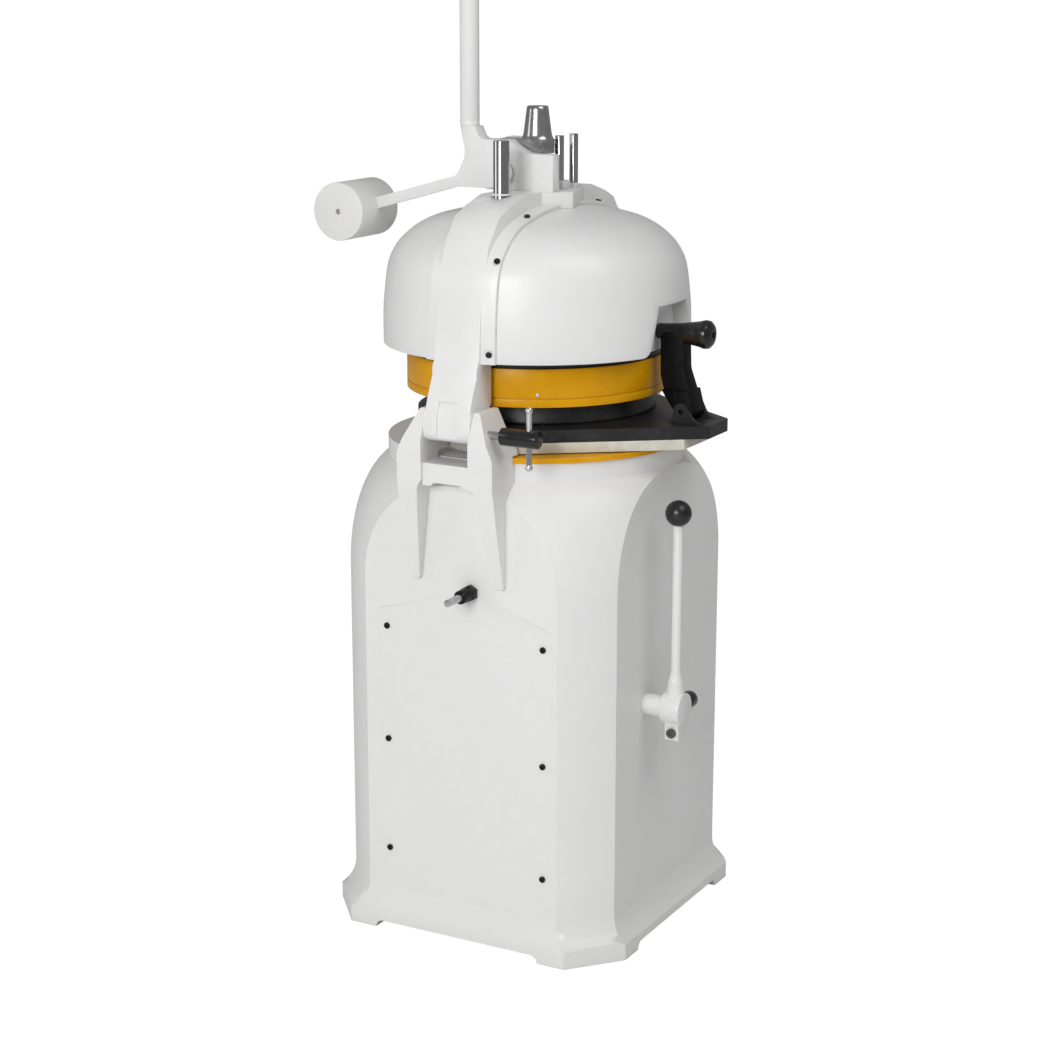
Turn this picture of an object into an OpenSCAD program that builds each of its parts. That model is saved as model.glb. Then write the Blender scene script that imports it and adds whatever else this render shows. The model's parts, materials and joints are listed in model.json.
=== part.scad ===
// Bun divider rounder: pedestal, tilting press head, hand lever and rounding drive.
// Millimetres. Z is up, the base stands on z = 0 and the press axis is x = y = 0.
// The operator stands on the -Y side, the head hinge is on the -X side.

/* [Pedestal] */
// Half width of the column across its side panels
body_hx = 282; // [279:0.5:285]
// Half depth of the column across its front and rear panels
body_hy = 269; // [269:0.5:273]
// How far the column's round corners stand out past its side panels
corner_out = 59; // [56:0.5:62]
// Wall of the pedestal casting
body_wall = 10; // [8:0.5:12]
// Height where the column starts to draw in
shoulder_z = 655; // [640:1:670]
// Radius of the neck under the head
neck_r = 268; // [262:1:268.5]
// Height of the pedestal
body_top = 880; // [872:1:888]
// Thickness of the pedestal's top
top_wall = 12; // [10:1:14]
// How far the foot band stands out past the side panels
foot_out_x = 23; // [18:0.5:28]
// How far the foot band stands out past the front and rear panels
foot_out_y = 27; // [21:0.5:32]
// Run of the foot's corner chamfer along X
plinth_cx = 88; // [70:1:100]
// Run of the foot's corner chamfer along Y
plinth_cy = 77; // [65:1:95]
// Height of the foot band
band_h = 29; // [24:1:36]
// Height where the flare of the foot ends
flare_top = 80; // [70:1:95]
// Height of the cut-outs between the feet
arch_cut_h = 14; // [10:0.5:18]
// Half width of the cut-outs between the feet
arch_cut_hw = 152; // [130:1:170]

/* [Service cover] */
// Half width of the service cover
cover_hw = 172; // [165:1:176]
// Lower edge of the service cover
cover_z0 = 118; // [110:1:130]
// Upper edge of the service cover
cover_z1 = 597; // [585:1:605]
// Thickness of the service cover
cover_t = 4; // [3:0.5:5]
// Ledge that the cover lies on
cover_ledge = 30; // [26:1:36]
// Distance of the cover screws from its edge
cover_screw_in = 16; // [13:0.5:20]
// Width of the service cover's joint line
cover_gap = 0.5; // [0.4:0.1:1]
// Offset of the cover's centre from the press axis
cover_y = -9; // [-14:1:-4]

/* [Table] */
// Radius of the lower ring on the neck
base_ring_r = 275; // [270:1:280]
// Height of the lower ring
base_ring_h = 11; // [10:0.5:13]
// Thickness of the damping pad under the base plate
pad_t = 18; // [16:1:20]
// Thickness of the base plate
plate_t = 22; // [18:1:26]
// Half width of the base plate
plate_hx = 236; // [228:1:240]
// Half width of the base plate's nose
nose_hw = 40; // [37:0.5:42]
// Reach of the base plate's nose
nose_y = 357; // [350:1:360]
// Radius of the base plate's rear half
plate_r = 214; // [212:1:216]
// Reach of the pad under the base plate's nose
pad_nose_y = 322; // [315:1:330]
// Opening of the base plate round the drive
drive_open_r = 150; // [145:1:155]
// Radius of the rounding plate
table_r = 206; // [203:0.5:208]
// Thickness of the rounding plate
table_t = 35; // [30:1:38]
// Radius of the rounding plate's carrier
carrier_r = 108; // [104:1:114]
// Throw of the rounding movement
throw = 14; // [10:0.5:16]
// Gap between the base plate and the rounding plate
table_gap = 1; // [0.6:0.1:1.5]

/* [Press head] */
// Outer radius of the dough ring
ring_ro = 233; // [230:1:236]
// Inner radius of the dough ring
ring_ri = 186; // [184:0.5:189]
// Height of the dough ring
ring_h = 66; // [60:1:70]
// Gap between the rounding plate and the dough ring
ring_gap = 1; // [0.6:0.1:1.5]
// Thickness of the plate that carries the dough ring
ring_plate_t = 12; // [10:1:14]
// Height of the hood's lower rim above the ring plate
hood_lift = 2; // [1:0.5:4]
// Wall of the hood
hood_wall = 5; // [4:0.5:7]
// Width of the latch pocket in the hood
pocket_w = 152; // [148:1:156]
// Height of the latch pocket in the hood
pocket_h = 85; // [75:1:92]
// Distance of the pocket's rear wall from the press axis
pocket_y = 237; // [236:0.5:240]
// Half width of the bridge over the hood
strap_hw = 43; // [40:0.5:45]
// Half width of the bridge over its flanges
flange_hw = 67; // [64:1:72]
// Thickness of the bridge flanges
flange_t = 7; // [5:0.5:9]
// Inner distance of the bridge's legs from the press axis
leg_x = 243; // [242:0.5:245]
// Height of the machined crown of the bridge
crown_z = 1316; // [1314:1:1320]

/* [Hinge and rest brackets] */
// Distance of the hinge pin from the press axis
pivot_x = 303; // [300:0.5:306]
// Height of the hinge pin
pivot_z = 935; // [932:1:938]
// Radius of the hinge pin
pin_r = 7; // [6:0.5:8]
// Radius of the eye round the hinge pin
eye_r = 19; // [17:0.5:20]
// Distance of the brackets' outer face from the press axis
bracket_x = 330; // [328:1:334]
// Half width of the brackets
bracket_hw = 93; // [88:1:98]
// Half width of the brackets' slot
slot_hw = 46; // [45.5:0.1:47]
// Side clearance of a tongue in its slot
tongue_gap = 0.4; // [0.3:0.05:0.6]
// Radius of the clamp's hand knob
knob_r = 15; // [13:0.5:17]
// Length of the clamp's hand knob
knob_len = 70; // [60:1:80]
// Length of the clamp's tommy bar
tommy_len = 97; // [85:1:110]

/* [Press drive] */
// Gear module of rack and pinion
gear_m = 3; // [3]
// Teeth of the pinion
pinion_z = 20; // [20]
// Width of the pinion
pinion_w = 36; // [30:1:40]
// Height of the lever shaft
shaft_z = 1345; // [1343:1:1348]
// Radius of the lever shaft
shaft_r = 12; // [10:0.5:13]
// Radius of the rack spindle
spindle_r = 16; // [15.5:0.5:17]
// Distance of the rack's pitch line from the press axis
rack_y = 12; // [11.5:0.5:12.5]
// Thickness of the bearing plates
bearing_t = 24; // [20:1:26]
// Inner distance of the bearing plates from the press axis
bearing_x = 24; // [23:0.5:26]
// Radius of the two guide rods
rod_r = 7.75; // [7:0.25:8.5]
// Radius of the thick guide post
post_r = 14; // [13:0.5:15]
// Height of the rod ends above the crown
rod_up = 92; // [85:1:100]

/* [Lever] */
// Centre plane of the hand lever
lever_x = -67; // [-68:0.5:-66.5]
// Width of the lever casting
lever_w = 30; // [28:1:31]
// Radius of the lever hub
hub_r = 21; // [19:0.5:23]
// Radius of the lever tube
tube_r = 17; // [15:0.5:18]
// Distance of the lever tube behind the press axis
tube_y = 98; // [96:1:101]
// Height of the lever's end
lever_top = 2100; // [2000:10:2150]
// Length of the lever grip
grip_len = 130; // [110:5:150]
// Radius of the counterweight
weight_r = 52; // [48:1:55]
// Length of the counterweight
weight_len = 120; // [110:1:124]
// Distance of the counterweight behind the press axis
weight_y = 337; // [330:1:345]
// Height of the counterweight
weight_z = 1270; // [1262:1:1278]

/* [Knives and pads] */
// Radii of the two ring knives
knife_rings = [68, 127];
// Cells in each ring, from the middle outwards
cells = [4, 10, 16];
// Thickness of the knives
knife_t = 3; // [2:0.5:3.5]
// Clearance of the pads between the knives
pad_gap = 1; // [0.6:0.1:1.4]
// Height of the knife blades
blade_h = 42; // [40:1:44]
// Height of the knife tips over the rounding plate
knife_lift = 45.5; // [45:0.5:47]
// Thickness of the press pads
press_pad_t = 22; // [18:1:24]
// Radius of the pillars that carry the pads
pillar_r = 5; // [4:0.5:5]

/* [Front latch] */
// Distance of the latch pin from the press axis
latch_y = 300; // [298:1:303]
// Height of the latch pin over the base plate
latch_up = 19; // [18.6:0.1:20]
// Radius of the latch foot
latch_r = 18; // [16:0.5:18.3]
// Half width of the latch
latch_hw = 26; // [24:0.5:26.5]
// Height of the latch grip
latch_grip_z = 1082; // [1078:1:1086]
// Gap between the latch grip and the rear wall of its pocket
grip_gap = 2; // [1.5:0.5:3]
// Radius of the latch grip's end
latch_grip_r = 25; // [22:0.5:27]

/* [Rounding lever] */
// Length of the boss that carries the rounding lever
boss_len = 39; // [36:0.5:42]
// Place of the rounding lever's axis from the press axis
round_x = -92; // [-98:1:-86]
// Height of the rounding lever's axis
round_z = 434; // [425:1:445]
// Height of the ball knob
ball_z = 785; // [770:1:800]
// Radius of the ball knob
ball_r = 23; // [21:0.5:25]
// Radius of the rounding lever's shaft
round_shaft_r = 8; // [7:0.5:9]

/* [Rounding drive] */
// Radius of the drive shaft
drive_r = 22; // [20:1:24]
// Radius of the large pulley
pulley_r = 130; // [125:1:134]
// Radius of the motor pulley
motor_pulley_r = 35; // [30:1:38]
// Width of the belt
belt_w = 30; // [26:1:34]
// Distance of the idler cranks from the press axis
idler_r = 85; // [82:1:86]

/* [Fits] */
// Radial running clearance of shafts and pins
run = 0.05; // [0.03:0.01:0.09]
// Clearance between pieces of different bodies that meet
meet = 0.3; // [0.25:0.05:0.4]
// Clearance of curved pieces that lie on each other
lie = 0.2; // [0.1:0.05:0.3]

/* [Node] */
// Sub-part to build, or all

/* [Hidden] */
$fn = 64;
eps = 1;
yellow = [0.85, 0.60, 0.03];
white = [0.90, 0.90, 0.88];
black = [0.06, 0.06, 0.07];
steel = [0.70, 0.71, 0.72];
beige = [0.78, 0.72, 0.60];
grey = [0.45, 0.46, 0.48];
red = [0.75, 0.06, 0.05];
green = [0.05, 0.45, 0.12];
sh_a = 115;
sh_b = 205;
body_r = body_hx + corner_out;
sh_c = body_r - sh_a;
sh_end = acos((neck_r - sh_c) / sh_a);
plinth_hx = body_hx + foot_out_x;
plinth_hy = body_hy + foot_out_y;
plinth_r = norm([plinth_hx, plinth_hy - plinth_cy]) + 1;
cham_a = atan2(plinth_cx, plinth_cy);
cham_d = (plinth_hx * plinth_cy + (plinth_hy - plinth_cy) * plinth_cx) / norm([plinth_cx, plinth_cy]);
cover_screw_y = cover_hw - cover_screw_in;
cover_screw_z = [cover_z0 + 2 * cover_screw_in, (cover_z0 + cover_z1) / 2, cover_z1 - 2 * cover_screw_in + 2];
stud_y = -24;
stud_z = 650;
box_at = [body_hx, -110, 560];
rest_z = 905;
plate_side_y = 40;
bolt_at = [165, 100];
ring_z0 = body_top;
pad_z0 = ring_z0 + base_ring_h;
plate_z0 = pad_z0 + pad_t;
plate_z1 = plate_z0 + plate_t;
table_z0 = plate_z1 + table_gap;
table_z1 = table_z0 + table_t;
dough_z0 = table_z1 + ring_gap;
dough_z1 = dough_z0 + ring_h;
hood_z0 = dough_z1 + ring_plate_t + hood_lift;
knife_z0 = table_z1 + knife_lift;
disc_z0 = knife_z0 + blade_h;
disc_t = 10;
knife_r = ring_ri - 2;
press_z0 = disc_z0 + disc_t + 25.5;
press_t = 14;
frame_z0 = press_z0 + press_t + 6;
frame_t = 14;
frame_hw = pocket_y - hood_wall - 2;
latch_z = plate_z1 + latch_up;
pinion_r = gear_m * pinion_z / 2;
shaft_y = rack_y + pinion_r;
rack_p = PI * gear_m;
screw_y = (strap_hw + flange_hw) / 2 + 1;
block_y1 = 18;
rods_at = [[26, -30], [80, -30]];
post_x = -130;
rod_top = crown_z + rod_up;
cover_top = crown_z + 144;
tommy_y = -bracket_hw - 56;
pulley_z0 = 590;
motor_at = [112, 147];
mplate_z0 = 660;
mplate_z1 = mplate_z0 + 12;
housing_r = 62;
housing_flange_t = 12;
housing_z0 = 640;
housing_z1 = body_top - top_wall;
crank_z0 = housing_z1 + 4;
crank_z1 = crank_z0 + 14;
carrier_z0 = crank_z1 + 12;
lug_t = 8;
lug_gap = 1;
round_hub_y = body_hy + boss_len;
hub_y = -round_hub_y - 18;
boss_r = 19;
bush_r = 14;
bush_y = -body_hy + body_wall + 12;
arm_y = bush_y + 9;
arm_t = 12;

// Outline with its corners rounded to radius r.
function arc_pts(c, r, a0, da, n) = [for (i = [0 : n]) c + r * [cos(a0 + da * i / n), sin(a0 + da * i / n)]];
function corner(p, a, b, r, n) =
    let (u = (a - p) / norm(a - p), v = (b - p) / norm(b - p), h = acos(u * v) / 2,
        c = p + (u + v) / norm(u + v) * r / sin(h), s = c - p,
        p0 = p + u * r / tan(h) - c, p1 = p + v * r / tan(h) - c,
        a0 = atan2(p0[1], p0[0]), a1 = atan2(p1[1], p1[0]), d = a1 - a0)
    arc_pts(c, r, a0, d > 180 ? d - 360 : d < -180 ? d + 360 : d, n);
function rounded(pts, r, n = 4) =
    let (m = len(pts))
    [for (i = [0 : m - 1]) each corner(pts[i], pts[(i + m - 1) % m], pts[(i + 1) % m],
        is_list(r) ? r[i] : r, n)];

// Solid between two heights from a plan outline.
module slab(z0, z1) {
    translate([0, 0, z0]) linear_extrude(z1 - z0) children();
}

// Profile drawn in the Y-Z plane, extruded along X.
module along_x(x0, x1) {
    translate([x0, 0, 0]) rotate([90, 0, 90]) linear_extrude(x1 - x0) children();
}

// Profile drawn in the X-Z plane, extruded along Y.
module along_y(y0, y1) {
    translate([0, y1, 0]) rotate([90, 0, 0]) linear_extrude(y1 - y0) children();
}

module rod_x(x0, x1, r, y, z) {
    translate([x0, y, z]) rotate([0, 90, 0]) cylinder(r = r, h = x1 - x0);
}

module rod_y(y0, y1, r, x, z) {
    translate([x, y0, z]) rotate([-90, 0, 0]) cylinder(r = r, h = y1 - y0);
}

module rod_z(z0, z1, r, x = 0, y = 0) {
    translate([x, y, z0]) cylinder(r = r, h = z1 - z0);
}

// Concave flare of the foot, from the band at radius r1 up to the column at radius r0.
function flare(r1, r0) =
    let (d = r1 - r0, h = flare_top - band_h, r = (d * d + h * h) / (2 * d), a = asin(h / r))
    [for (i = [6 : -1 : 0]) [r0 + r * (1 - cos(a * i / 6)), flare_top - r * sin(a * i / 6)]];

module flare_side(r1, r0, z0, z1) {
    half = concat([[r1, z0]], flare(r1, r0), [[r0, z1]]);
    polygon(concat(half, [for (i = [len(half) - 1 : -1 : 0]) [-half[i][0], half[i][1]]]));
}

// Column with its shoulder, grown by g: a turned form cut by two pairs of flats.
module column_form(g, z0, z1) {
    intersection() {
        rotate_extrude($fn = 96) polygon(concat([[0, z0], [body_r + g, z0]], shoulder(g), [[neck_r + g, z1], [0, z1]]));
        translate([-body_hx - g, -body_hy - g, z0]) cube([2 * (body_hx + g), 2 * (body_hy + g), z1 - z0]);
    }
}

function shoulder(g) = [for (i = [0 : 12]) let (a = sh_end * i / 12)
    [sh_c + sh_a * cos(a) + g, shoulder_z + sh_b * sin(a)]];

// Whole pedestal: the column on a chamfered, flared foot.
module body_form() {
    intersection() {
        rotate_extrude($fn = 96) polygon(concat([[0, 0], [plinth_r, 0]], flare(plinth_r, body_r),
            shoulder(0), [[neck_r, body_top], [0, body_top]]));
        along_y(-500, 500) flare_side(plinth_hx, body_hx, 0, body_top);
        along_x(-500, 500) flare_side(plinth_hy, body_hy, 0, body_top);
        slab(0, body_top) intersection_for(s = [-1, 1]) rotate(s * cham_a)
            square([2 * cham_d, 1200], center = true);
    }
}

module cover_screw_places() {
    for (s = [-1, 1], z = cover_screw_z)
        translate([-body_hx, cover_y + s * cover_screw_y, z]) rotate([0, -90, 0]) children();
}

module bolt_places() {
    for (sx = [-1, 1], sy = [-1, 1])
        translate([sx * bolt_at[0], sy * bolt_at[1], plate_z1]) children();
}

module pedestal() {
    color(white) difference() {
        body_form();
        column_form(-body_wall, -eps, body_top - top_wall);
        for (a = [0, 90]) rotate([0, 0, a]) {
            translate([-500, -arch_cut_hw, -eps]) cube([450, 2 * arch_cut_hw, arch_cut_h + eps]);
            for (s = [-1, 1]) rod_x(-500, -50, arch_cut_h, s * arch_cut_hw, 0);
        }
        translate([-body_hx - eps, cover_y - cover_hw - cover_gap, cover_z0 - cover_gap])
            cube([cover_t + eps, 2 * (cover_hw + cover_gap), cover_z1 - cover_z0 + 2 * cover_gap]);
        translate([-body_hx - eps, cover_y - cover_hw + cover_ledge, cover_z0 + cover_ledge])
            cube([body_wall + 2 * eps, 2 * (cover_hw - cover_ledge), cover_z1 - cover_z0 - 2 * cover_ledge]);
        cover_screw_places() translate([0, 0, -body_wall - eps]) cylinder(r = 2.5, h = body_wall + 2 * eps, $fn = 24);
        rod_z(body_top - top_wall - eps, body_top + eps, drive_open_r);
        rod_x(-body_hx - eps, -body_hx + body_wall + eps, 8, stud_y, stud_z);
        rod_y(-body_hy - eps, -body_hy + body_wall + eps, bush_r, round_x, round_z);
    }
}

module side_cover() {
    color(white) difference() {
        translate([-body_hx, cover_y - cover_hw, cover_z0])
            cube([cover_t, 2 * cover_hw, cover_z1 - cover_z0]);
        cover_screw_places() translate([0, 0, -body_wall - eps])
            cylinder(r = 2.5, h = body_wall + 2 * eps, $fn = 24);
    }
}

module side_cover_screws() {
    color(steel) cover_screw_places() difference() {
        union() {
            cylinder(r = 5.5, h = 3, $fn = 32);
            translate([0, 0, -body_wall]) cylinder(r = 2.5, h = body_wall + 0.5, $fn = 24);
        }
        translate([0, 0, 1.2]) cylinder(r = 2.6, h = 3, $fn = 6);
    }
}

module base_ring() {
    color(yellow) rotate_extrude($fn = 96) polygon([[drive_open_r, ring_z0], [base_ring_r, ring_z0],
        [base_ring_r, pad_z0 - 3], [base_ring_r - 1, pad_z0 - 2],
        [plate_r - 4, pad_z0 - 2], [plate_r - 4, pad_z0], [drive_open_r, pad_z0]]);
}

module plate_plan() {
    circle(plate_r, $fn = 96);
    polygon(rounded([[plate_hx, plate_side_y], [172, 127], [-172, 127], [-plate_hx, plate_side_y], [-plate_hx, -88],
        [-nose_hw, -nose_y], [nose_hw, -nose_y], [plate_hx, -88]], [30, 1, 1, 30, 40, 5, 5, 40]));
}

module base_pad() {
    color(beige) difference() {
        slab(pad_z0, plate_z0) intersection() {
            plate_plan();
            translate([-300, -pad_nose_y]) square([600, 600]);
        }
        rod_z(pad_z0 - eps, plate_z0 + eps, drive_open_r);
        bolt_places() translate([0, 0, -plate_t - pad_t - eps]) cylinder(r = 5, h = 60, $fn = 32);
    }
}

module base_plate() {
    color(black) difference() {
        union() {
            slab(plate_z0, plate_z1) plate_plan();
            for (s = [-1, 1]) translate([s > 0 ? latch_hw + lug_gap : -latch_hw - lug_gap - lug_t, 0, 0])
                along_x(0, lug_t) {
                    translate([-latch_y, latch_z]) circle(14);
                    polygon(concat([[-latch_y - 42, plate_z1 - eps], [-latch_y - 42, plate_z1]],
                        arc_pts([-latch_y - 42, plate_z1 + 28], 28, -90, 76, 6),
                        [[-latch_y - 14, latch_z], [-latch_y + 14, latch_z]],
                        arc_pts([-latch_y + 28, plate_z1 + 14], 14, 180, 90, 4),
                        [[-latch_y + 28, plate_z1 - eps]]));
                }
        }
        rod_z(plate_z0 - eps, plate_z1 + eps, drive_open_r);
        rod_x(-60, 60, 5, -latch_y, latch_z);
        bolt_places() {
            translate([0, 0, -plate_t - eps]) cylinder(r = 5, h = plate_t + 2 * eps, $fn = 32);
            translate([0, 0, -8]) cylinder(r = 9, h = 9, $fn = 32);
        }
    }
}

module base_plate_bolts() {
    color(black) bolt_places() difference() {
        union() {
            translate([0, 0, -8]) cylinder(r = 9, h = 7.5, $fn = 32);
            translate([0, 0, -plate_t - pad_t]) cylinder(r = 5, h = plate_t + pad_t - 7, $fn = 32);
        }
        translate([0, 0, -5]) cylinder(r = 4.6, h = 6, $fn = 6);
    }
}

// Bracket for the left side; slot_floor is the height of the web between the ears.
module bracket(slot_floor, bored) {
    difference() {
        intersection() {
            along_y(-bracket_hw, bracket_hw) polygon([[-bracket_x, 920], [-bracket_x, 845],
                [-body_hx - 12, 672], [-body_hx - 8, 664], [-240, 664], [-240, plate_z0 + 10],
                [-246, plate_z0 + 10], [-246, pivot_z + 36], [-308, pivot_z + 36]]);
            union() {
                for (s = [-1, 1]) scale([1, s, 1]) along_x(-bracket_x - eps, -200)
                    polygon(rounded([[slot_hw, pivot_z + 36],
                        [slot_hw + 12, pivot_z + 36], [bracket_hw, 896], [bracket_hw, 664],
                        [bracket_hw - 20, 664], [slot_hw + 9, 838], [slot_hw, 850]], [3, 5, 24, 6, 6, 20, 8]));
                along_x(-bracket_x + 8, -200) polygon([[-slot_hw - eps, slot_floor - 39],
                    [-slot_hw + 14, slot_floor - 39], [-slot_hw + 20, slot_floor - 33],
                    [slot_hw - 20, slot_floor - 33], [slot_hw - 14, slot_floor - 39],
                    [slot_hw + eps, slot_floor - 39], [slot_hw + eps, slot_floor], [-slot_hw - eps, slot_floor]]);
            }
        }
        column_form(meet / 3, 500, body_top + 0.1);
        rod_z(body_top - eps, pad_z0 + 0.5, base_ring_r + 0.1);
        if (bored) rod_y(-120, 120, pin_r + run, -pivot_x, pivot_z);
    }
}

module hinge_bracket() {
    color(white) bracket(879, true);
}

module rest_bracket() {
    color(white) mirror([1, 0, 0]) bracket(rest_z - meet, false);
}

module adjusting_stud() {
    color(steel) {
        rod_x(-body_hx - 80, -body_hx + 16, 6.5, stud_y, stud_z);
    }
}

module adjusting_nut() {
    color(black) difference() {
        union() {
            translate([-body_hx - 14, stud_y, stud_z]) rotate([0, 90, 0]) cylinder(r = 15, h = 14, $fn = 6);
            rod_x(-body_hx - 38, -body_hx - 14, 12, stud_y, stud_z);
            rod_x(-body_hx, -body_hx + body_wall, 8, stud_y, stud_z);
        }
        rod_x(-body_hx - 60, -body_hx + body_wall + eps, 6.5 + run, stud_y, stud_z);
    }
}

module switch_box() {
    color(grey) difference() {
        translate(box_at) along_x(0, 62) polygon(rounded([[-48, -75], [48, -75], [48, 75], [-48, 75]], 8));
        for (z = [-30, 30]) rod_x(body_hx + 40, body_hx + 70, 14.4, box_at[1], box_at[2] + z);
        rod_z(box_at[2] - 80, box_at[2] - 60, 9, body_hx + 30, box_at[1]);
    }
}

module push_button(z) {
    rod_x(body_hx + 44.5, body_hx + 66, 14, box_at[1], box_at[2] + z);
    rod_x(body_hx + 66, body_hx + 70, 12.5, box_at[1], box_at[2] + z);
}

module start_button() {
    color(green) push_button(30);
}

module stop_button() {
    color(red) push_button(-30);
}

module cable_gland() {
    color(black) {
        rod_z(box_at[2] - 75, box_at[2] - 60, 9, body_hx + 30, box_at[1]);
        translate([body_hx + 30, box_at[1], box_at[2] - 85]) cylinder(r = 14, h = 10, $fn = 6);
        difference() {
            rod_z(box_at[2] - 97, box_at[2] - 84, 11, body_hx + 30, box_at[1]);
            rod_z(box_at[2] - 98, box_at[2] - 88, 4, body_hx + 30, box_at[1]);
        }
    }
}

module shaft_housing() {
    color(grey) difference() {
        union() {
            rod_z(housing_z1 - housing_flange_t, housing_z1, drive_open_r + 22);
            rod_z(housing_z0, housing_z1 - housing_flange_t + eps, housing_r);
            rotate_extrude() polygon([[housing_r - eps, housing_z1 - housing_flange_t - 26],
                [housing_r, housing_z1 - housing_flange_t - 26], [housing_r + 26, housing_z1 - housing_flange_t],
                [housing_r - eps, housing_z1 - housing_flange_t]]);
        }
        rod_z(housing_z0 - eps, housing_z1 + eps, drive_r + 6);
        rod_z(housing_z0 - eps, housing_z0 + 24, 45);
        rod_z(housing_z1 - 24, housing_z1 + eps, 45);
        idler_places(0) rod_z(housing_z1 - 45, housing_z1 + eps, 8 + run);
    }
}

module idler_places(shift) {
    for (a = [30, 150, 270]) translate([idler_r * cos(a) + shift, idler_r * sin(a), 0]) children();
}

module main_bearings() {
    color(steel) for (z = [housing_z0 + 4, housing_z1 - 24]) difference() {
        rod_z(z, z + 20, 45);
        rod_z(z - eps, z + 21, drive_r + run);
    }
}

module drive_shaft() {
    color(steel) {
        rod_z(pulley_z0 - 14, crank_z0 + eps, drive_r);
        difference() {
            union() {
                rod_z(crank_z0, crank_z1, 50);
                rod_z(crank_z1 - eps, carrier_z0 - 1, 26, throw, 0);
                rod_z(carrier_z0 - 2, carrier_z0 + 34, 20, throw, 0);
            }
            translate([throw, 0, carrier_z0 + 24]) cylinder(r = 6, h = 12, $fn = 6);
        }
    }
}

module idler(a) {
    x = idler_r * cos(a);
    y = idler_r * sin(a);
    color(steel) {
        rod_z(housing_z1 - 20, crank_z0 + eps, 8, x, y);
        slab(crank_z0, crank_z1 - 2) hull() {
            translate([x, y]) circle(11, $fn = 32);
            translate([x + throw, y]) circle(11, $fn = 32);
        }
        rod_z(crank_z1 - 3, carrier_z0 + 16, 8, x + throw, y);
    }
}

module idler_crank_1() {
    idler(30);
}

module idler_crank_2() {
    idler(150);
}

module idler_crank_3() {
    idler(270);
}

module drive_pulley() {
    color(grey) difference() {
        union() {
            rod_z(pulley_z0, pulley_z0 + belt_w + 8, pulley_r);
            rod_z(pulley_z0 - 8, pulley_z0 + belt_w + 8, 40);
        }
        difference() {
            rod_z(pulley_z0 - eps, pulley_z0 + 14, pulley_r - 9);
            rod_z(pulley_z0 - 2 * eps, pulley_z0 + 15, 40);
        }
        difference() {
            rod_z(pulley_z0 + 24, pulley_z0 + belt_w + 10, pulley_r - 9);
            rod_z(pulley_z0 + 23, pulley_z0 + belt_w + 11, 40);
        }
        rod_z(pulley_z0 - 20, pulley_z0 + belt_w + 20, drive_r);
        for (a = [0 : 72 : 288]) rotate([0, 0, a]) rod_z(pulley_z0, pulley_z0 + 60, 18, 82, 0);
    }
}

module belt_plan(g) {
    d = norm(motor_at);
    b = asin((pulley_r - motor_pulley_r) / d);
    rotate([0, 0, atan2(motor_at[1], motor_at[0])])
        polygon(concat(
            arc_pts([d, 0], motor_pulley_r + g, -90 + b, 180 - 2 * b, 16),
            arc_pts([0, 0], pulley_r + g, 90 - b, 180 + 2 * b, 40)));
}

module drive_belt() {
    color(black) slab(pulley_z0 + 4, pulley_z0 + 4 + belt_w) difference() {
        belt_plan(6);
        belt_plan(0.5);
    }
}

module motor() {
    color(grey) {
        rod_z(mplate_z1, mplate_z1 + 12, 66, motor_at[0], motor_at[1]);
        for (a = [0 : 20 : 340]) translate([motor_at[0], motor_at[1], mplate_z1 + 10]) rotate([0, 0, a])
            translate([45, -2, 0]) cube([13, 4, 126]);
        rod_z(mplate_z1 + 10, mplate_z1 + 136, 52, motor_at[0], motor_at[1]);
        rod_z(mplate_z1 + 134, mplate_z1 + 170, 58, motor_at[0], motor_at[1]);
    }
}

module motor_plate() {
    color(grey) difference() {
        slab(mplate_z0, mplate_z1) union() {
            circle(housing_r + 26);
            translate(motor_at) circle(74);
            rotate([0, 0, atan2(motor_at[1], motor_at[0])]) translate([0, -66]) square([norm(motor_at), 132]);
        }
        rod_z(mplate_z0 - eps, mplate_z1 + eps, housing_r);
        rod_z(mplate_z0 - eps, mplate_z1 + eps, 20, motor_at[0], motor_at[1]);
    }
}

module motor_pulley() {
    color(steel) {
        rod_z(pulley_z0, pulley_z0 + belt_w + 8, motor_pulley_r, motor_at[0], motor_at[1]);
        rod_z(pulley_z0 + belt_w, mplate_z1 - meet, 12, motor_at[0], motor_at[1]);
    }
}

module table_carrier() {
    color(grey) translate([throw, 0, 0]) difference() {
        rod_z(carrier_z0, table_z0, carrier_r);
        rod_z(carrier_z0 - eps, table_z0 + eps, 20 + run);
        idler_places(0) rod_z(carrier_z0 - eps, carrier_z0 + 17, 8 + run);
    }
}

module rounding_plate() {
    color(black) translate([throw, 0, 0]) difference() {
        rotate_extrude($fn = 96) polygon([[0, table_z0], [table_r - 1, table_z0], [table_r + 2, table_z0 + 1],
            [table_r + 2, table_z0 + 5], [table_r, table_z0 + 9], [table_r, table_z1 - 2],
            [table_r - 2, table_z1], [0, table_z1]]);
        rod_z(table_z0 - eps, table_z0 + 12, 24);
    }
}

module lever_bearing() {
    color(white) difference() {
        union() {
            rod_y(-round_hub_y + meet, -body_hy, boss_r, round_x, round_z);
            rod_y(-body_hy, bush_y, bush_r, round_x, round_z);
        }
        rod_y(-round_hub_y - eps, bush_y + eps, round_shaft_r + run, round_x, round_z);
    }
}

module rounding_shaft() {
    color(steel) {
        rod_y(-round_hub_y - 30, arm_y + arm_t + 6, round_shaft_r, round_x, round_z);
        difference() {
            along_y(arm_y, arm_y + arm_t) {
                translate([round_x, round_z]) circle(20);
                translate([round_x, round_z - 40]) circle(12);
                translate([round_x - 12, round_z - 40]) square([24, 40]);
            }
            rod_y(arm_y - eps, arm_y + arm_t + eps, 5, round_x, round_z - 40);
        }
    }
}

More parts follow.
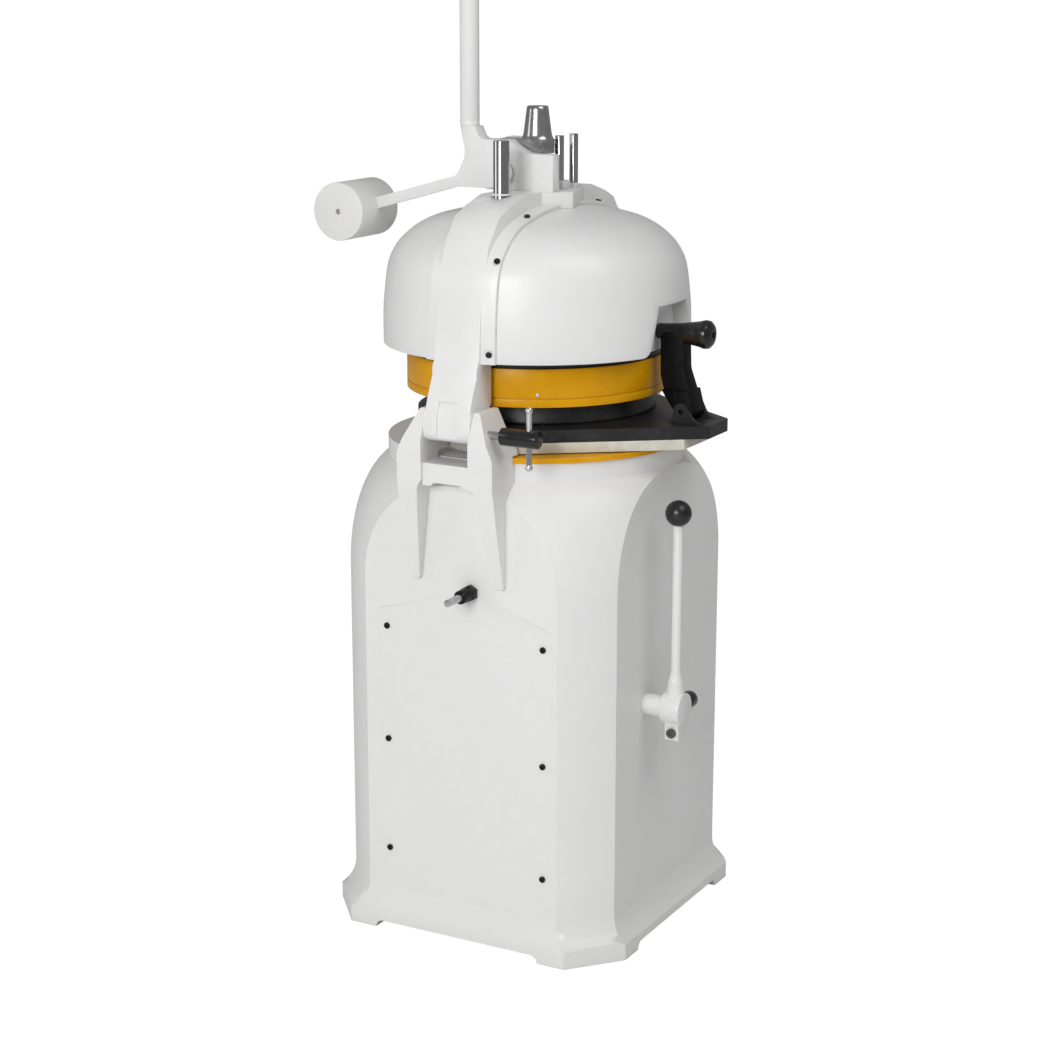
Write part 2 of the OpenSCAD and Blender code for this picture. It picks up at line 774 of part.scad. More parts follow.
module rounding_lever() {
    color(white) difference() {
        union() {
            rod_y(-round_hub_y - 36, -round_hub_y, 29, round_x, round_z);
            translate([round_x, hub_y, round_z + 10]) cylinder(r1 = 18, r2 = 13, h = 42);
            translate([round_x, hub_y, round_z + 51]) cylinder(r1 = 13, r2 = 8.5, h = 18);
            rod_z(round_z, ball_z - ball_r + 6, 8.5, round_x, hub_y);
            translate([round_x - 16, -round_hub_y - 32, round_z - 54]) cube([32, 26, 34]);
            rod_x(round_x + 18, round_x + 36, 12, hub_y, round_z);
        }
        rod_y(-round_hub_y - 30, -round_hub_y + 10, round_shaft_r, round_x, round_z);
        rod_x(round_x + 22, round_x + 50, 4 + run, hub_y, round_z);
        rod_x(round_x - 20, round_x + 4, 5, hub_y - 1, round_z - 41);
    }
}

module clamp_screw() {
    color(black) difference() {
        union() {
            rod_x(round_x - 21, round_x - 16, 8.5, hub_y - 1, round_z - 41);
            rod_x(round_x - 17, round_x + 4, 5, hub_y - 1, round_z - 41);
        }
        translate([round_x - 22, hub_y - 1, round_z - 41]) rotate([0, 90, 0]) cylinder(r = 4, h = 4, $fn = 6);
    }
}

module ball_knob() {
    color(black) difference() {
        translate([round_x, hub_y, ball_z]) sphere(ball_r);
        rod_z(ball_z - ball_r - eps, ball_z - ball_r + 6, 8.5, round_x, hub_y);
        translate([round_x - 30, hub_y - 30, ball_z - ball_r - 10]) cube([60, 60, 11.5]);
    }
}

module plunger_knob() {
    color(black) {
        rod_x(round_x + 36 + meet, round_x + 62, knob_r, hub_y, round_z);
        rod_x(round_x + 23, round_x + 37, 4, hub_y, round_z);
    }
}

module hinge_pin() {
    color(steel) rod_y(-bracket_hw - 5, bracket_hw + 2, pin_r, -pivot_x, pivot_z);
}

module clamp_knob() {
    color(black) difference() {
        rod_y(-bracket_hw - 4 - knob_len, -bracket_hw - 5, knob_r, -pivot_x, pivot_z);
        rod_z(pivot_z - 60, pivot_z + 60, 5, -pivot_x, tommy_y);
    }
}

module tommy_bar() {
    color(steel) {
        rod_z(pivot_z - tommy_len / 2, pivot_z + tommy_len / 2, 5, -pivot_x, tommy_y);
        for (s = [-1, 1]) translate([-pivot_x, tommy_y, pivot_z + s * tommy_len / 2]) sphere(6.5, $fn = 32);
    }
}

// Outer profile of the hood from the rim to the crown: a smooth curve through key points.
hood_keys = [[274, -30], [274, 0], [274, 52], [271, 94], [264, 142], [250, 171], [233, 190], [212, 206],
    [185, 219], [151, 228], [110, 236], [60, 241], [0, 242], [-60, 241]];
function spline(k, i, t) = 0.5 * ((2 * k[i]) + (k[i + 1] - k[i - 1]) * t
    + (2 * k[i - 1] - 5 * k[i] + 4 * k[i + 1] - k[i + 2]) * t * t
    + (3 * k[i] - k[i - 1] - 3 * k[i + 1] + k[i + 2]) * t * t * t);
hood_pts = concat([for (i = [1 : 11], t = [0, 1 / 3, 2 / 3]) spline(hood_keys, i, t)], [hood_keys[12]]);
function hood_profile(g, z0) = concat(
    [[0, z0], [hood_pts[0][0] + g, z0]],
    [for (i = [1 : len(hood_pts) - 1]) let (p = hood_pts[i], q = hood_pts[i - 1],
        t = (p - q) / norm(p - q)) [max(0, p[0] + g * (i == len(hood_pts) - 1 ? 0 : t[1])),
        hood_z0 + p[1] - g * t[0]]]);

module hood_form(g, z0) {
    rotate_extrude($fn = 96) polygon(hood_profile(g, z0));
}

function hood_zr(r) = hood_z0 + lookup(r, [for (i = [len(hood_pts) - 1 : -1 : 0]) hood_pts[i]]);

// Opening of the latch pocket, grown by g: narrower at its top, its lower corners rounded off.
module pocket_outline(g) {
    hw = pocket_w / 2;
    foot = g > 0 ? [[hw + g, hood_z0]] : concat([[hw + 20, hood_z0 - eps]], arc_pts([hw + 20, hood_z0 + 20], 20, 270, -90, 6));
    side = concat(foot, [[hw - 20 + g, hood_z0 + pocket_h + g]]);
    polygon(concat(side, [for (i = [len(side) - 1 : -1 : 0]) [-side[i][0], side[i][1]]]));
}

module hood() {
    pz = hood_z0 + pocket_h;
    difference() {
        intersection() {
            hood_form(0, hood_z0);
            union() {
                difference() {
                    translate([-400, -400, hood_z0]) cube([800, 800, 300]);
                    hood_form(-hood_wall, hood_z0 - eps);
                }
                along_y(-300, -pocket_y + hood_wall) pocket_outline(hood_wall);
            }
        }
        along_y(-400, -pocket_y) pocket_outline(0);
        translate([-400, -strap_hw - lie, hood_z0 - eps]) cube([800, 2 * (strap_hw + lie), 400]);
        hood_screw_places() translate([0, 0, -20]) cylinder(r = 2.5, h = 24, $fn = 24);
    }
}

module front_hood() {
    color(white) intersection() {
        hood();
        translate([-400, -400, hood_z0 - eps]) cube([800, 400, 400]);
    }
}

module rear_hood() {
    color(white) intersection() {
        hood();
        translate([-400, 0, hood_z0 - eps]) cube([800, 400, 400]);
    }
}

// Seats of the hood screws: x, angle of the hood's normal above the horizon.
screw_list = [[-270, 0, 17], [-235, 26, 168], [-140, 76, 0], [124, 78, 0], [235, 26, 168], [270, 0, 17]];

module hood_screw_places() {
    for (s = [-1, 1], p = screw_list) if (s < 0 || p[0] > 0) let (r = norm([p[0], screw_y]),
        z = p[2] > 0 ? hood_z0 + p[2] : hood_zr(r), rr = p[2] == 17 ? hood_pts[0][0] : p[2] > 0 ? 251.5 : r,
        k = rr / r)
        translate([p[0] * k, s * screw_y * k, z]) rotate([0, 0, atan2(s * screw_y, p[0])])
            rotate([0, 90 - p[1], 0]) children();
}

module hood_screws() {
    color(steel) hood_screw_places() difference() {
        union() {
            translate([0, 0, flange_t - 0.5]) cylinder(r = 5, h = 3.5, $fn = 32);
            translate([0, 0, -hood_wall - 1]) cylinder(r = 2.5, h = flange_t + hood_wall + 1, $fn = 24);
        }
        translate([0, 0, flange_t + 1.5]) cylinder(r = 2.4, h = 3, $fn = 6);
    }
}

bridge_out = [[294, 970], [284, 1055], [279.5, 1121], [268, 1180], [250, 1243], [214, 1286], [181, 1300],
    [125, crown_z]];
bridge_in = [[110, 1268], [150, 1260], [184, 1248], [208, 1232], [226, 1208], [238, 1176], [leg_x, 1146]];

module bridge_side() {
    polygon(concat([[0, crown_z]], [for (i = [len(bridge_out) - 1 : -1 : 1]) bridge_out[i]],
        [[293, 1040], [293, 990]], [[leg_x, 990]], [for (i = [len(bridge_in) - 1 : -1 : 0]) bridge_in[i]],
        [[0, 1270]]));
}

// Outer face of the hinge tongue, from the leg down to the eye.
function tongue_face(dx) = [for (p = [[-280, 115], [-289, 98], [-298, 80], [-307, 60], [-314, 42], [-319, 24],
    [-321.5, 8], [-321.5, 0]]) [p[0] + dx, pivot_z + p[1]]];

module bridge() {
    tw = slot_hw - tongue_gap;
    color(white) difference() {
        union() {
            along_y(-strap_hw, strap_hw) {
                bridge_side();
                mirror([1, 0]) bridge_side();
                translate([leg_x, rest_z]) square([50, 100]);
            }
            along_y(-strap_hw, strap_hw)
                polygon(concat([[-leg_x, 1050]], tongue_face(0), [[-pivot_x, pivot_z - eye_r], [-leg_x, 976]]));
            along_y(-tw, tw) {
                translate([-pivot_x, pivot_z]) circle(eye_r);
                polygon([[-pivot_x - eye_r, pivot_z], [-pivot_x - eye_r + 1, pivot_z + 20],
                    [-pivot_x - eye_r + 5, pivot_z + 34], [-leg_x, pivot_z + 34], [-pivot_x + eye_r, pivot_z]]);
            }
            intersection() {
                difference() {
                    hood_form(flange_t, hood_z0);
                    hood_form(lie, hood_z0 - eps);
                }
                translate([-400, -flange_hw, hood_z0]) cube([800, 2 * flange_hw, 300]);
            }
        }
        rod_y(-100, 100, pin_r + run, -pivot_x, pivot_z);
        along_y(-19, 19) polygon(concat([[-360, pivot_z + 50], [-308, pivot_z + 50]],
            [for (i = [4 : 7]) tongue_face(3)[i]], [[-318.5, pivot_z - 13], [-360, pivot_z - 13]]));
        rod_z(1200, 1400, spindle_r + run);
        rod_z(1200, 1400, post_r + run, post_x, 0);
        slab(1240, 1340) block_plan();
        rod_x(lever_x - lever_w / 2 - 1, lever_x + lever_w / 2 + 1, 33, shaft_y, shaft_z);
        rod_x(-bearing_x, bearing_x, pinion_r + gear_m + 1.5, shaft_y, shaft_z);
        hood_screw_places() {
            translate([0, 0, -4]) cylinder(r = 2.5, h = 24, $fn = 24);
            translate([0, 0, flange_t - 0.5]) cylinder(r = 6.5, h = 14, $fn = 32);
        }
    }
}

module block_plan() {
    polygon([[-84, -block_y1], [-76, -32], [-22, -82], [68, -57], [100, -39], [100, -block_y1]]);
}

module guide_block() {
    color(white) difference() {
        slab(1250, crown_z) block_plan();
        difference() {
            hood_form(lie, 1200);
            translate([-120, -strap_hw + 1.5, 1100]) cube([250, 100, 300]);
        }
        rod_z(1200, 1400, spindle_r + run);
        for (p = rods_at) rod_z(1200, 1400, rod_r + run, p[0], p[1]);
    }
}

module guide_bushes() {
    color(white) {
        difference() {
            translate([rods_at[0][0] - 14, rods_at[0][1] - 14, crown_z]) cube([28, 28, 14]);
            rod_z(crown_z - eps, crown_z + 20, rod_r + run, rods_at[0][0], rods_at[0][1]);
        }
        difference() {
            rod_z(crown_z, crown_z + 6, 11, rods_at[1][0] - 6, rods_at[1][1]);
            rod_z(crown_z - eps, crown_z + 20, rod_r + run, rods_at[1][0], rods_at[1][1]);
        }
        difference() {
            rod_z(crown_z, crown_z + 3, 18, post_x, 0);
            rod_z(crown_z - 5, crown_z + 20, post_r + run, post_x, 0);
        }
    }
}

module dough_ring() {
    color(yellow) difference() {
        rod_z(dough_z0, dough_z1, ring_ro, 0, 0, $fn = 96);
        rod_z(dough_z0 - eps, dough_z1 + eps, ring_ri, 0, 0, $fn = 96);
        rotate_extrude($fn = 96) translate([ring_ro - 1.5, dough_z0 + 14]) square([3, 2]);
        rotate_extrude($fn = 96) polygon([[ring_ri - 1, dough_z0 - 1], [ring_ri + 5, dough_z0 - 1],
            [ring_ri - 1, dough_z0 + 5]]);
    }
}

module hanger_places() {
    for (a = [45 : 90 : 315]) rotate([0, 0, a]) translate([209, 0, 0]) children();
}

module ring_plate() {
    color(black) difference() {
        rod_z(dough_z1, dough_z1 + ring_plate_t, ring_ro - 5, 0, 0, $fn = 96);
        rod_z(dough_z1 - eps, dough_z1 + ring_plate_t + eps, ring_ri + 4, 0, 0, $fn = 96);
        hanger_places() rod_z(dough_z1 - eps, dough_z1 + ring_plate_t + eps, 5, $fn = 32);
    }
}

module head_frame() {
    color(grey) {
        difference() {
            intersection() {
                rod_z(frame_z0, frame_z0 + frame_t, leg_x + 12);
                translate([-leg_x, -frame_hw, frame_z0]) cube([2 * leg_x, 2 * frame_hw, frame_t]);
            }
            rod_z(frame_z0 - eps, frame_z0 + frame_t + eps, 190);
        }
        hanger_places() {
            rod_z(dough_z1 + ring_plate_t, frame_z0 + eps, 7, $fn = 32);
            rod_z(dough_z1, dough_z1 + ring_plate_t + eps, 5, $fn = 32);
        }
    }
}

module bearing_side() {
    difference() {
        polygon([[-56, crown_z], [77, crown_z], [77, crown_z + 87], [31, crown_z + 87], [22, crown_z + 80],
            [13, crown_z + 74], [4, crown_z + 69], [-5, crown_z + 65], [-20, crown_z + 64],
            [-56, crown_z + 64]]);
        translate([shaft_y, shaft_z]) circle(shaft_r + run);
    }
}

module bearing_plates() {
    color(white) {
        along_x(-bearing_x - bearing_t, -bearing_x) bearing_side();
        along_x(bearing_x, bearing_x + bearing_t) difference() {
            bearing_side();
            translate([-100, crown_z - eps]) square([112, 200]);
        }
    }
}

module rack_cover() {
    z0 = shaft_z + pinion_r + gear_m + 1;
    color(grey) difference() {
        union() {
            rotate_extrude() polygon([[0, z0], [31, z0], [31, z0 + 22], [28, z0 + 25], [26, z0 + 29],
                [24.5, z0 + 36], [19, cover_top - 2], [17.5, cover_top], [0, cover_top]]);
            along_x(-bearing_x + meet, bearing_x - meet) polygon([[0, z0], [76, z0], [76, z0 + 19],
                [72, z0 + 23], [0, z0 + 23]]);
        }
        rod_z(z0 - eps, cover_top - 3, spindle_r + 0.8);
        for (s = [-1, 1]) translate([s > 0 ? bearing_x - meet : -bearing_x + meet - 20, -60, z0 - eps])
            cube([20, 140, crown_z + 87 - z0 + eps + meet]);
        along_x(-20, 20) polygon([[0, z0 - eps], [54, z0 - eps], [54, z0 + 8], [0, z0 + 8]]);
    }
}

module lever_casting() {
    yb = tube_y;
    x0 = lever_x - lever_w / 2;
    x1 = lever_x + lever_w / 2;
    d = [weight_y - 125, weight_z - 1329];
    u = d / norm(d);
    n = [-u[1], u[0]];
    color(white) difference() {
        union() {
            rod_x(x0, x1, hub_r, shaft_y, shaft_z);
            along_x(x0, x1) polygon(rounded([[30, shaft_z - 12], [30, shaft_z + 60], [70, shaft_z + 60],
                [80, shaft_z + 82], [yb + 8, shaft_z + 82], [99, shaft_z + 30], [119, shaft_z - 7],
                [125, 1321], [52, 1321], [40, shaft_z - hub_r]], [4, 10, 14, 4, 4, 40, 20, 2, 10, 10]));
            translate([lever_x, yb, shaft_z + 44]) cylinder(r1 = 10, r2 = tube_r, h = 40);
            rod_z(shaft_z + 84 - eps, shaft_z + 90, tube_r, lever_x, yb);
            along_x(lever_x - 7, lever_x + 7) polygon([[100, shaft_z + 24], [108, shaft_z + 6],
                [125, shaft_z - 6], [weight_y, weight_z] + 10 * n, [weight_y, weight_z] - 10 * n,
                [119, 1321], [100, 1321]]);
        }
        rod_x(x0 + 4, x1 + eps, shaft_r, shaft_y, shaft_z);
        rod_x(lever_x - 80, lever_x + 80, weight_r - 1, weight_y, weight_z);
        rod_z(shaft_z + 62, shaft_z + 95, tube_r - 5, lever_x, yb);
    }
}

module lever_tube() {
    color(white) {
        rod_z(shaft_z + 90, lever_top - grip_len + 20, tube_r, lever_x, tube_y);
        rod_z(shaft_z + 62, shaft_z + 91, tube_r - 5, lever_x, tube_y);
        rod_z(lever_top - grip_len + 19, lever_top - 6, tube_r - 4, lever_x, tube_y);
    }
}

module lever_grip() {
    color(black) translate([lever_x, tube_y, lever_top - grip_len + 20]) difference() {
        rotate_extrude() polygon([[0, 0], [tube_r + 1, 0], [tube_r + 2, 3], [tube_r + 2, grip_len - 30],
            [tube_r, grip_len - 23], [tube_r - 5, grip_len - 20], [0, grip_len - 20]]);
        translate([0, 0, -eps]) cylinder(r = tube_r - 4, h = grip_len - 26 + eps);
    }
}

module counterweight() {
    color(white) difference() {
        rod_x(lever_x - weight_len / 2, lever_x + weight_len / 2, weight_r, weight_y, weight_z);
        rod_x(lever_x - weight_len / 2 - eps, lever_x - weight_len / 2 + 10, 5, weight_y, weight_z);
        intersection() {
            along_x(lever_x - 7, lever_x + 7) polygon([[weight_y - 80, weight_z - 60], [weight_y, weight_z - 60],
                [weight_y, weight_z + 60], [weight_y - 80, weight_z + 60]]);
            difference() {
                rod_x(lever_x - 7, lever_x + 7, weight_r + 5, weight_y, weight_z);
                rod_x(lever_x - 8, lever_x + 8, weight_r - 1, weight_y, weight_z);
            }
        }
    }
}

module lever_shaft() {
    color(steel) {
        rod_x(lever_x - lever_w / 2 + 4, bearing_x + bearing_t + 4, shaft_r, shaft_y, shaft_z);
        rod_x(bearing_x + bearing_t + meet, bearing_x + bearing_t + 6, shaft_r + 4, shaft_y, shaft_z);
    }
}

// Involute outline of one spur gear; the tooth is thinned by lash for running.
function inv(a) = tan(a) * 180 / PI - a;
function gear_pts(m, z, lash) =
    let (rp = m * z / 2, rb = rp * cos(20), ra = rp + m, rf = rp - 1.25 * m,
        h = 90 / z - lash / (2 * rp) * 180 / PI, n = 4)
    [for (t = [0 : z - 1], p = concat(
        [[-1, rf]],
        [for (i = [0 : n]) [-1, max(rb, rf) + (ra - max(rb, rf)) * i / n]],
        [for (i = [n : -1 : 0]) [1, max(rb, rf) + (ra - max(rb, rf)) * i / n]],
        [[1, rf]]))
        let (r = p[1], q = r > rb ? acos(rb / r) : 0, w = h - inv(q) + inv(20),
            a = 360 * t / z + p[0] * w) r * [cos(a), sin(a)]];

module pinion() {
    color(steel) difference() {
        along_x(-pinion_w / 2, pinion_w / 2) translate([shaft_y, shaft_z]) rotate(180)
            polygon(gear_pts(gear_m, pinion_z, 0.15));
        rod_x(-pinion_w / 2 - eps, pinion_w / 2 + eps, shaft_r, shaft_y, shaft_z);
    }
}

module rack_spindle() {
    k = tan(20);
    w = rack_p / 4 + 0.1;
    color(steel) difference() {
        union() {
            rod_z(disc_z0 + disc_t, cover_top - 8, spindle_r);
            rod_z(disc_z0 + disc_t, disc_z0 + disc_t + 12, 30);
        }
        translate([-30, rack_y + gear_m, shaft_z - 45]) cube([60, 20, 120]);
        for (i = [-3 : 7]) along_x(-30, 30) translate([0, shaft_z + i * rack_p])
            polygon([[rack_y - 1.25 * gear_m, -w + 1.25 * gear_m * k], [rack_y + gear_m + 0.5, -w - (gear_m + 0.5) * k],
                [rack_y + gear_m + 0.5, w + (gear_m + 0.5) * k], [rack_y - 1.25 * gear_m, w - 1.25 * gear_m * k]]);
    }
}

// Plan of the walls between the cells, each wall w wide.
module cell_walls(w) {
    for (i = [0 : 2]) let (r0 = i == 0 ? 0 : knife_rings[i - 1], r1 = i == 2 ? knife_r - 1 : knife_rings[i])
        for (a = [0 : cells[i] - 1]) rotate(360 * (a + 0.5) / cells[i])
            translate([r0, -w / 2]) square([r1 - r0, w]);
    for (r = knife_rings) difference() {
        circle(r + w / 2);
        circle(r - w / 2);
    }
}

function cell_r(i) = i == 0 ? 36 : i == 1 ? (knife_rings[0] + knife_rings[1]) / 2 : (knife_rings[1] + knife_r) / 2;

module cell_places() {
    for (i = [0 : 2], a = [0 : cells[i] - 1]) rotate(360 * a / cells[i]) translate([cell_r(i), 0]) children();
}

module knife_grid() {
    color(steel) {
        slab(knife_z0, disc_z0 + eps) union() {
            cell_walls(knife_t);
            difference() {
                circle(knife_r, $fn = 96);
                circle(knife_r - 2, $fn = 96);
            }
        }
        difference() {
            rod_z(disc_z0, disc_z0 + disc_t, knife_r, $fn = 96);
            cell_places() translate([0, 0, disc_z0 - eps]) cylinder(r = pillar_r + 1, h = disc_t + 2 * eps, $fn = 24);
        }
    }
}

module guide_rods() {
    color(steel) for (p = rods_at) {
        rod_z(disc_z0 + disc_t, rod_top, rod_r, p[0], p[1]);
    }
}

module press_head() {
    color(steel) {
        slab(knife_z0, knife_z0 + press_pad_t) difference() {
            circle(knife_r - 2 - pad_gap, $fn = 96);
            cell_walls(knife_t + 2 * pad_gap);
        }
        cell_places() rod_z(knife_z0 + press_pad_t - eps, press_z0 + eps, pillar_r, $fn = 24);
        difference() {
            rod_z(press_z0, press_z0 + press_t, 180, $fn = 96);
            rod_z(press_z0 - eps, press_z0 + press_t + eps, spindle_r + 2);
            for (p = rods_at) rod_z(press_z0 - eps, press_z0 + press_t + eps, rod_r + 2, p[0], p[1]);
        }
        rod_z(press_z0 + press_t - eps, rod_top, post_r, post_x, 0);
        rod_z(press_z0 + press_t - eps, press_z0 + press_t + 4, 22, post_x, 0);
    }
}

// Grip of the front latch, grown by g: a cone that widens to a rounded end.
module latch_grip_form(g) {
    translate([0, -pocket_y - grip_gap, latch_grip_z]) rotate([90, 0, 0]) rotate_extrude()
        polygon([[0, -g], [12 + g, -g], [13.5 + g, 2], [16 + g, 40], [latch_grip_r - 3 + g, 78],
            [latch_grip_r + g, 90], [latch_grip_r - 1 + g, 97], [latch_grip_r - 6, 102 + g],
            [latch_grip_r - 14, 104.5 + g], [0, 104.5 + g]]);
}

module latch_column() {
    color(black) difference() {
        union() {
            rod_x(-latch_hw, latch_hw, latch_r, -latch_y, latch_z);
            along_x(-latch_hw, latch_hw) polygon(rounded([[-latch_y - latch_r, latch_z],
                [-latch_y - 9, latch_z + 34], [-296, 1020], [-294, latch_grip_z + 2],
                [-251, latch_grip_z + 2], [-252, 1010], [-258, 985], [-latch_y + latch_r, latch_z]],
                [1, 20, 40, 14, 14, 40, 20, 1]));
            rod_x(-latch_hw - lug_gap - lug_t, latch_hw + lug_gap + lug_t, 5 - run, -latch_y, latch_z);
        }
        latch_grip_form(0);
        for (s = [-1, 1]) translate([s > 0 ? 16 : -latch_hw - 10, -330, latch_z + 34])
            cube([latch_hw - 6, 100, 200]);
    }
}

module latch_grip() {
    color(black) difference() {
        latch_grip_form(0);
        translate([0, -pocket_y - grip_gap - 101, latch_grip_z]) rotate([90, 0, 0]) cylinder(r = 6, h = 6);
    }
}

pedestal();
side_cover();
side_cover_screws();
base_ring();
base_pad();
base_plate();
base_plate_bolts();
hinge_bracket();
rest_bracket();
adjusting_stud();
adjusting_nut();
switch_box();
start_button();
stop_button();
cable_gland();
shaft_housing();
main_bearings();
drive_shaft();
drive_pulley();
drive_belt();
motor();
motor_plate();
motor_pulley();
table_carrier();
rounding_plate();
idler_crank_1();
idler_crank_2();
idler_crank_3();
lever_bearing();
rounding_shaft();
rounding_lever();
ball_knob();
clamp_screw();
plunger_knob();
hinge_pin();
clamp_knob();
tommy_bar();
bridge();
front_hood();
rear_hood();
hood_screws();
dough_ring();
ring_plate();
head_frame();
bearing_plates();
rack_cover();
guide_block();
guide_bushes();
lever_casting();
lever_tube();
lever_grip();
counterweight();
lever_shaft();
pinion();
rack_spindle();
knife_grid();
guide_rods();
press_head();
latch_column();
latch_grip();
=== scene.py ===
# %% [markdown]
# A bakery divider rounder stands about as high as a person's shoulder. A cast pedestal carries
# a flat plate that circles under the dough, and above it hangs a press head with knives. This
# script dresses the measured model of that machine: it adds finishes, softened edges, a few
# turned details, and the light and the camera of a product photograph.

# %% Load the measured model
import json
import math
import bpy
import bmesh
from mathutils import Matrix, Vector


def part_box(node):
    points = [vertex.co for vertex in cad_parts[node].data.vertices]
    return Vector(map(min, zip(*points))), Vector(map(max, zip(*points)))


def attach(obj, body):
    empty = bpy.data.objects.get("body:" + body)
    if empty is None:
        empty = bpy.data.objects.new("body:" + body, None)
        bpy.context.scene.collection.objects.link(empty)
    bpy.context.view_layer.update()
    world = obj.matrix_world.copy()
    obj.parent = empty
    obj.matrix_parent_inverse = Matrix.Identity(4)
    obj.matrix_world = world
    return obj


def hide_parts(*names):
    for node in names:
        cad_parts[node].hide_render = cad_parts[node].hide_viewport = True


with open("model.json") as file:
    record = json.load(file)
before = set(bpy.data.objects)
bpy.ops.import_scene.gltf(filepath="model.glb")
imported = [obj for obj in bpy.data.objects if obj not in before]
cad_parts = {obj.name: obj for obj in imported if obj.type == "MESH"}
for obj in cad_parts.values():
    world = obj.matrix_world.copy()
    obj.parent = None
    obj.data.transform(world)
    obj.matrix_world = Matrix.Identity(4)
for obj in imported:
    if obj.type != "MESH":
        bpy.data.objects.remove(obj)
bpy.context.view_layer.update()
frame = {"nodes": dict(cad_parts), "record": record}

nodes = frame["nodes"]

# %% [markdown]
# The camera comes first, because every later choice is judged through it. Its place was solved
# from straight edges and circles of the photograph: it stands about four metres off, a little
# above the crown, and looks down by fourteen degrees with a longish lens.

# %% Camera
EYE = (-3.5467, -1.9193, 1.7028)
LOOK = Vector((0.8507, 0.4688, -0.2379))
LENS_MM = 78.79
SENSOR_MM = 36.0
FAR_END = 60.0
camera = bpy.data.objects.new("camera", bpy.data.cameras.new("camera"))
camera.location = EYE
camera.rotation_euler = LOOK.to_track_quat("-Z", "Y").to_euler()
camera.data.lens = LENS_MM
camera.data.sensor_width = SENSOR_MM
camera.data.clip_end = FAR_END
bpy.context.scene.collection.objects.link(camera)
bpy.context.scene.camera = camera
bpy.context.scene.view_settings.view_transform = "Standard"
print("camera", [round(v, 3) for v in camera.rotation_euler])

# %% [markdown]
# A finish is a small graph of nodes. Written node by node it is long and hard to read, so one
# class wraps an output socket and lets Python's own signs build the arithmetic: grime * 0.3 adds
# a Multiply node. Everything else comes from one method, which takes the node's kind, its
# settings and what goes into its sockets.

# %% Sockets as expressions
class Sock:
    """One output of a node; + - * on it add Math nodes to its tree."""

    def __init__(self, tree, out=None):
        self.tree, self.out = tree, out

    def node(self, kind, settings=None, inputs=None, out=0):
        made = self.tree.nodes.new(kind)
        for key, value in (settings or {}).items():
            setattr(made, key, value)
        for key, value in (inputs or {}).items():
            self.plug(made.inputs[key], value)
        return Sock(self.tree, made.outputs[out])

    def plug(self, socket, value):
        if isinstance(value, Sock):
            self.tree.links.new(value.out, socket)
        else:
            socket.default_value = value

    def math(self, operation, a, b=0.0, clamp=False):
        return self.node("ShaderNodeMath", {"operation": operation, "use_clamp": clamp}, {0: a, 1: b})

    def __add__(self, other):
        return self.math("ADD", self, other)

    def __sub__(self, other):
        return self.math("SUBTRACT", self, other)

    def __rsub__(self, other):
        return self.math("SUBTRACT", other, self)

    def __mul__(self, other):
        return self.math("MULTIPLY", self, other)

    __radd__ = __add__
    __rmul__ = __mul__

    def between(self, low, high):
        """0 below low, 1 above high and a straight ramp from one to the other."""
        return self.math("MULTIPLY", self.math("SUBTRACT", self, low), 1 / (high - low), clamp=True)

    def mix(self, a, b):
        """Colour a where this is 0 and colour b where it is 1."""
        made = self.tree.nodes.new("ShaderNodeMix")
        made.data_type = "RGBA"
        for key, value in ((0, self), (6, a), (7, b)):
            self.plug(made.inputs[key], value)
        return Sock(self.tree, made.outputs[2])


# %% [markdown]
# The model is in metres and each node sits at the origin, so the Object texture coordinate is
# the real place on the machine. A noise of scale 400 then has grains of a few millimetres on
# every piece alike, which keeps paint grain the same size on a knob and on the pedestal.

# %% Helpers for finishes
def paint_can(name):
    """A new material: its shader node, a starting socket and the place on the machine."""
    material = bpy.data.materials.new(name)
    material.use_nodes = True
    tree = material.node_tree
    shader = tree.nodes["Principled BSDF"]
    start = Sock(tree)
    place = start.node("ShaderNodeTexCoord", out="Object")
    return material, shader, start, place


def grain(place, scale, detail=3.0, rough=0.55, stretch=None):
    """Noise with a feature size of about 1 / scale metres; stretch squeezes it along an axis."""
    if stretch:
        place = place.node("ShaderNodeMapping", inputs={"Vector": place, "Scale": stretch})
    return place.node("ShaderNodeTexNoise", inputs={"Vector": place, "Scale": scale, "Detail": detail,
                                                    "Roughness": rough})


def rgb(r, g, b):
    return (r, g, b, 1.0)


def set_all(shader, **values):
    for key, value in values.items():
        shader.inputs[key.replace("_", " ")].default_value = value


def connect(start, shader, colour, rough, height, depth):
    """Plugs the three varying inputs; height feeds a Bump node that is depth metres deep."""
    start.plug(shader.inputs["Base Color"], colour)
    start.plug(shader.inputs["Roughness"], rough)
    normal = start.node("ShaderNodeBump", inputs={"Strength": 1.0, "Distance": depth, "Height": height})
    start.plug(shader.inputs["Normal"], normal)


def corner_shade(start, reach=0.02):
    """Painted shade: 1 in tight inner angles, where little open sky reaches, 0 on open faces."""
    open_sky = start.node("ShaderNodeAmbientOcclusion", {"samples": 6}, {"Distance": reach}, out="AO")
    return (1.0 - open_sky).between(0.25, 0.9)
